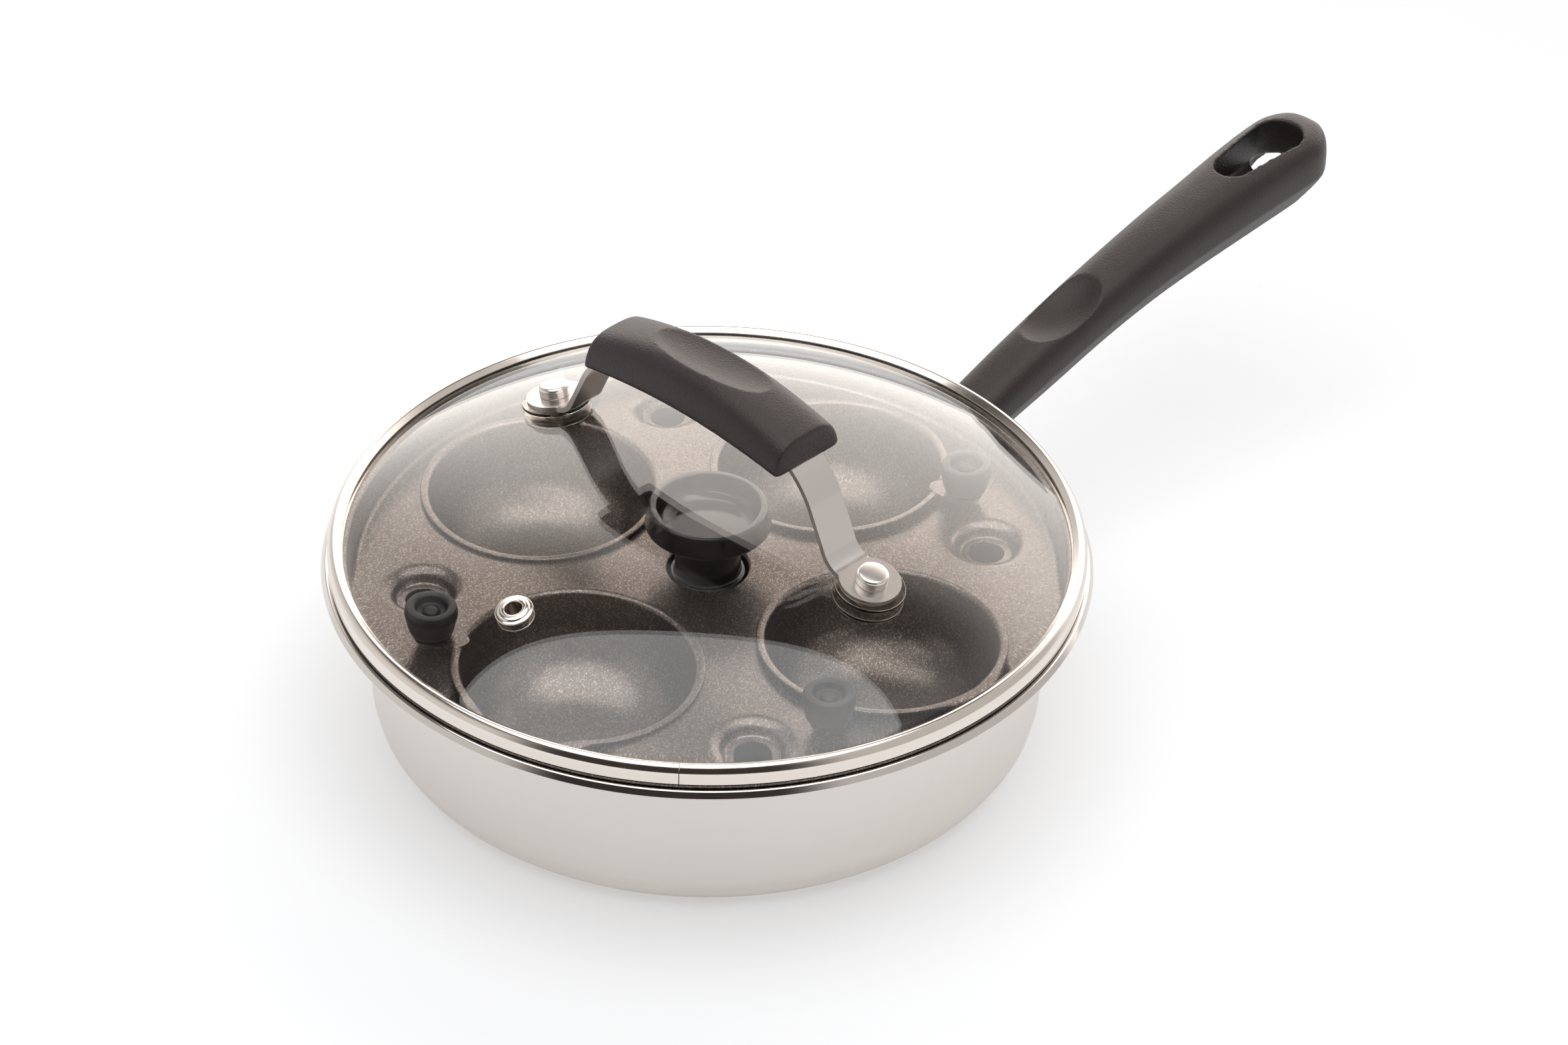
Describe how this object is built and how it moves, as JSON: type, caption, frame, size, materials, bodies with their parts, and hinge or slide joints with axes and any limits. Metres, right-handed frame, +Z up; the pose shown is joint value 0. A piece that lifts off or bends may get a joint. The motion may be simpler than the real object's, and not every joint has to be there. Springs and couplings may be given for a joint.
{
  "type": "egg poacher pan",
  "caption": "Shallow steel pan with a stepped rim and long black handle, a dark non-stick poaching tray with loose egg cups, and a vented glass dome lid with a bridge grip.",
  "frame": {"origin": "middle of the pan's underside, in the plane it stands on", "axes": "+X runs out along the long handle, +Y to its left seen from above, +Z up"},
  "size_m": [0.3778, 0.219, 0.1189],
  "materials": {
    "brushed_stainless": "fine circular brushing on drawn stainless steel",
    "polished_stainless": "polished stainless steel",
    "nonstick_coated": "semi-gloss grey-brown non-stick coating with fine metallic speckle",
    "moulded_phenolic": "fine-grained matte moulding",
    "gloss_phenolic": "smooth glossy moulding",
    "satin_phenolic": "satin moulding",
    "toughened_glass": "clear polished glass",
    "clear_silicone": "translucent silicone with an amber tint"
  },
  "bodies": {
    "pan": {"pan_body": "brushed_stainless", "handle_bracket": "polished_stainless", "long_handle": "moulded_phenolic", "handle_screw": "polished_stainless"},
    "tray": {"poacher_tray": "nonstick_coated", "centre_knob": "gloss_phenolic", "tray_washer": "polished_stainless", "tray_screw": "polished_stainless"},
    "lid": {"lid_glass": "toughened_glass", "lid_band": "polished_stainless", "vent_eyelet": "polished_stainless", "lid_grip": "moulded_phenolic", "upper_washer_1": "clear_silicone", "lower_washer_1": "clear_silicone", "lid_rivet_1": "polished_stainless", "grip_screw_1": "polished_stainless", "lid_strap_1": "polished_stainless", "upper_washer_2": "clear_silicone", "lower_washer_2": "clear_silicone", "lid_rivet_2": "polished_stainless", "grip_screw_2": "polished_stainless", "lid_strap_2": "polished_stainless"},
    "cup_1": {"egg_cup_1": "nonstick_coated", "cup_knob_1": "satin_phenolic", "cup_rivet_1": "polished_stainless"},
    "cup_2": {"egg_cup_2": "nonstick_coated", "cup_knob_2": "satin_phenolic", "cup_rivet_2": "polished_stainless"},
    "cup_3": {"egg_cup_3": "nonstick_coated", "cup_knob_3": "satin_phenolic", "cup_rivet_3": "polished_stainless"},
    "cup_4": {"egg_cup_4": "nonstick_coated", "cup_knob_4": "satin_phenolic", "cup_rivet_4": "polished_stainless"}
  },
  "joints": [
    {"name": "tray_lift", "type": "slide", "parent": "pan", "child": "tray", "axis": [0, 0, 1], "range_m": [0, 0.1]},
    {"name": "lid_lift", "type": "slide", "parent": "tray", "child": "lid", "axis": [0, 0, 1], "range_m": [0, 0.12]},
    {"name": "cup_1_lift", "type": "slide", "parent": "tray", "child": "cup_1", "axis": [0, 0, 1], "range_m": [0, 0.05]},
    {"name": "cup_2_lift", "type": "slide", "parent": "tray", "child": "cup_2", "axis": [0, 0, 1], "range_m": [0, 0.05]},
    {"name": "cup_3_lift", "type": "slide", "parent": "tray", "child": "cup_3", "axis": [0, 0, 1], "range_m": [0, 0.05]},
    {"name": "cup_4_lift", "type": "slide", "parent": "tray", "child": "cup_4", "axis": [0, 0, 1], "range_m": [0, 0.05]}
  ],
  "couplings": [
    {"joint": "cup_1_lift", "follows": "lid_lift", "ratio": 0.4166},
    {"joint": "cup_2_lift", "follows": "lid_lift", "ratio": 0.4166},
    {"joint": "cup_3_lift", "follows": "lid_lift", "ratio": 0.4166},
    {"joint": "cup_4_lift", "follows": "lid_lift", "ratio": 0.4166}
  ]
}
